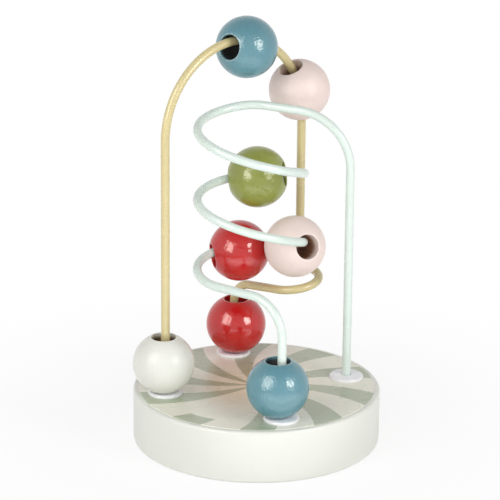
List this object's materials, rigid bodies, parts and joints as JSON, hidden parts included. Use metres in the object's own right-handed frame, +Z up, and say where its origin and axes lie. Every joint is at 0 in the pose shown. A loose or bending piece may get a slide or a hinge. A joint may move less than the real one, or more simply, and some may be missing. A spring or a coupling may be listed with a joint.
{
  "type": "spiral ball track",
  "caption": "Baby's bead track: lacquered wooden beads threaded on an arched and a coiled coated wire that stand in collars on a round printed base.",
  "frame": {"origin": "the middle of the base's underside", "axes": "+Z up out of the base, +X from the left collar to the right collar, +Y from the front collar to the back collar"},
  "size_m": [0.1213, 0.1201, 0.2056],
  "materials": {
    "base_paint": "white satin paint over turned wood",
    "printed_film": "printed film with pale and sage curved rays",
    "collar_plastic": "smooth white moulding",
    "wire_steel": "drawn steel wire",
    "mint_coating": "soft-sheen pale mint coating",
    "yellow_coating": "soft-sheen straw yellow coating",
    "white_lacquer": "gloss lacquer over turned wood",
    "red_lacquer": "gloss lacquer over turned wood",
    "blue_lacquer": "gloss lacquer over turned wood",
    "pink_lacquer": "satin lacquer over turned wood",
    "green_lacquer": "gloss lacquer over turned wood"
  },
  "bodies": {
    "frame": {"base_disc": "base_paint", "top_print": "printed_film", "collar_right": "collar_plastic", "collar_back": "collar_plastic", "collar_left": "collar_plastic", "collar_front": "collar_plastic", "mint_wire_core": "wire_steel", "mint_wire_sleeve": "mint_coating", "yellow_wire_core": "wire_steel", "yellow_wire_sleeve": "yellow_coating"},
    "white_left_bead": {"bead_white_left": "white_lacquer"},
    "red_back_bead": {"bead_red_back": "red_lacquer"},
    "blue_front_bead": {"bead_blue_front": "blue_lacquer"},
    "blue_arch_bead": {"bead_blue_arch": "blue_lacquer"},
    "pink_arch_bead": {"bead_pink_arch": "pink_lacquer"},
    "green_coil_bead": {"bead_green_coil": "green_lacquer"},
    "pink_coil_bead": {"bead_pink_coil": "pink_lacquer"},
    "red_coil_bead": {"bead_red_coil": "red_lacquer"}
  },
  "joints": [
    {"name": "white_left_bead_lift", "type": "slide", "parent": "frame", "child": "white_left_bead", "axis": [0, 0, 1], "range_m": [0, 0.09]},
    {"name": "red_back_bead_lift", "type": "slide", "parent": "frame", "child": "red_back_bead", "axis": [0, 0, 1], "range_m": [0, 0.004]},
    {"name": "blue_front_bead_lift", "type": "slide", "parent": "frame", "child": "blue_front_bead", "axis": [0, 0, 1], "range_m": [0, 0.018]},
    {"name": "blue_arch_bead_run", "type": "hinge", "parent": "frame", "child": "blue_arch_bead", "pos_m": [-0.00716, 0.01825, 0.1523], "axis": [-0.4298, 0.9029, 0], "range_deg": [-70, 8]},
    {"name": "pink_arch_bead_run", "type": "hinge", "parent": "frame", "child": "pink_arch_bead", "pos_m": [-0.00593, 0.01884, 0.15104], "axis": [-0.181, 0.9831, -0.0282], "range_deg": [-16, 15]},
    {"name": "green_coil_bead_run", "type": "hinge", "parent": "frame", "child": "green_coil_bead", "pos_m": [-0.00407, -0.00032, 0.12863], "axis": [-0.109, 0.1821, 0.9772], "range_deg": [-45, 45]},
    {"name": "pink_coil_bead_run", "type": "hinge", "parent": "frame", "child": "pink_coil_bead", "pos_m": [-0.00612, 0.00095, 0.09909], "axis": [0.188, 0.3901, 0.9014], "range_deg": [-95, 0]},
    {"name": "red_coil_bead_run", "type": "hinge", "parent": "frame", "child": "red_coil_bead", "pos_m": [-0.0032, -0.00002, 0.0921], "axis": [-0.0044, -0.0153, 0.9999], "range_deg": [0, 90]}
  ]
}
